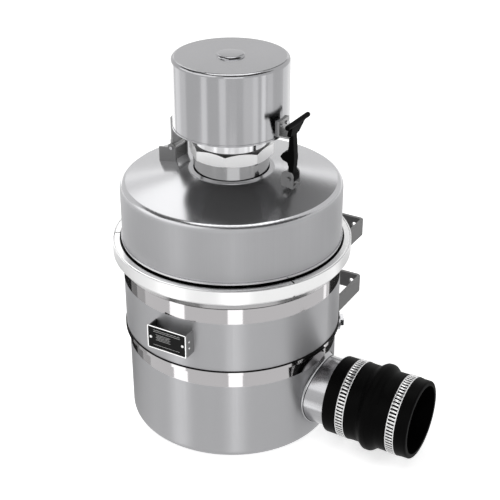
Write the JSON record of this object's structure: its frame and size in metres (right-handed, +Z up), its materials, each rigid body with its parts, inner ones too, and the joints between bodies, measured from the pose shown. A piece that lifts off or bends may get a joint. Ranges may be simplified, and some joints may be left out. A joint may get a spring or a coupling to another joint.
{
  "type": "dry bulk air filter",
  "caption": "Stainless canister air filter with clamped lid, hinged inlet cap held by a rubber latch, rubber-sleeved side outlet and wall brackets.",
  "frame": {"origin": "centre of the canister's flat bottom face, on its axis", "axes": "+Z up the canister axis, +X along the outlet, +Y towards the wall that the brackets bolt to"},
  "size_m": [0.486, 0.3781, 0.5625],
  "materials": {
    "satin_steel": "fine vertical brushed stainless steel",
    "polished_steel": "machined and polished stainless steel",
    "cap_steel": "bright drawn stainless steel",
    "band_steel": "bright rolled stainless strip",
    "plate_steel": "mill-finish stainless plate",
    "pin_steel": "turned stainless steel",
    "bracket_steel": "grey blasted steel",
    "element_steel": "plain sheet steel",
    "pleat_mesh": "pleated filter media",
    "gasket_rubber": "moulded black rubber",
    "latch_rubber": "moulded black rubber, satin",
    "hose_rubber": "wrapped black rubber, matt",
    "label_plate": "black etched plate with bright border"
  },
  "bodies": {
    "canister": {"lower_shell": "satin_steel", "upper_shell": "satin_steel", "body_flange": "satin_steel", "gauge_boss": "polished_steel", "gauge_plug": "polished_steel", "lower_gasket": "gasket_rubber", "upper_gasket": "gasket_rubber", "element_plate": "element_steel", "element_head": "element_steel", "element_end_cap": "element_steel", "element_core": "element_steel", "pleated_media": "pleat_mesh", "lid_shell": "satin_steel", "lid_flange": "satin_steel", "neck_collar": "polished_steel", "neck_pipe": "polished_steel", "adapter_seal": "gasket_rubber", "inlet_coupling": "polished_steel", "inlet_adapter": "polished_steel", "front_segment": "band_steel", "right_segment": "band_steel", "left_segment": "band_steel", "clamp_strap": "band_steel", "bolt_saddle": "band_steel", "hinge_base": "plate_steel", "hinge_pin": "pin_steel", "latch_clevis": "plate_steel", "latch_pin": "pin_steel", "outlet_tube": "satin_steel", "outlet_saddle": "satin_steel", "outlet_sleeve": "hose_rubber", "inner_sleeve_clamp": "band_steel", "outer_sleeve_clamp": "band_steel", "clamp_housings": "band_steel", "clamp_screws": "band_steel", "upper_bracket": "bracket_steel", "lower_bracket": "bracket_steel", "nameplate_bracket": "plate_steel", "nameplate": "label_plate", "nameplate_rivets": "pin_steel"},
    "cap": {"cap_shell": "cap_steel", "cap_boss": "polished_steel", "cap_post": "polished_steel", "seal_plate": "polished_steel", "cap_seal": "gasket_rubber", "hinge_leaf": "plate_steel", "leaf_rivets": "pin_steel", "latch_keeper": "plate_steel", "keeper_rivets": "pin_steel"},
    "latch": {"latch_handle": "latch_rubber"},
    "clamp_bolt": {"t_bolt": "band_steel"},
    "clamp_nut": {"clamp_nut": "band_steel"}
  },
  "joints": [
    {"name": "cap_hinge", "type": "hinge", "parent": "canister", "child": "cap", "pos_m": [-0.09, 0, 0.411], "axis": [0, -1, 0], "range_deg": [0, 115]},
    {"name": "latch_pivot", "type": "hinge", "parent": "canister", "child": "latch", "pos_m": [0.097, 0, 0.402], "axis": [0, 1, 0], "range_deg": [0, 105]},
    {"name": "bolt_swing", "type": "hinge", "parent": "canister", "child": "clamp_bolt", "pos_m": [-0.03, 0.17789, 0.2814], "axis": [0, 0, 1], "range_deg": [0, 75]},
    {"name": "nut_spin", "type": "hinge", "parent": "clamp_bolt", "child": "clamp_nut", "pos_m": [0.042, 0.17789, 0.2814], "axis": [1, 0, 0], "continuous": true}
  ],
  "couplings": [
    {"joint": "latch_pivot", "follows": "cap_hinge", "ratio": 0.91}
  ]
}
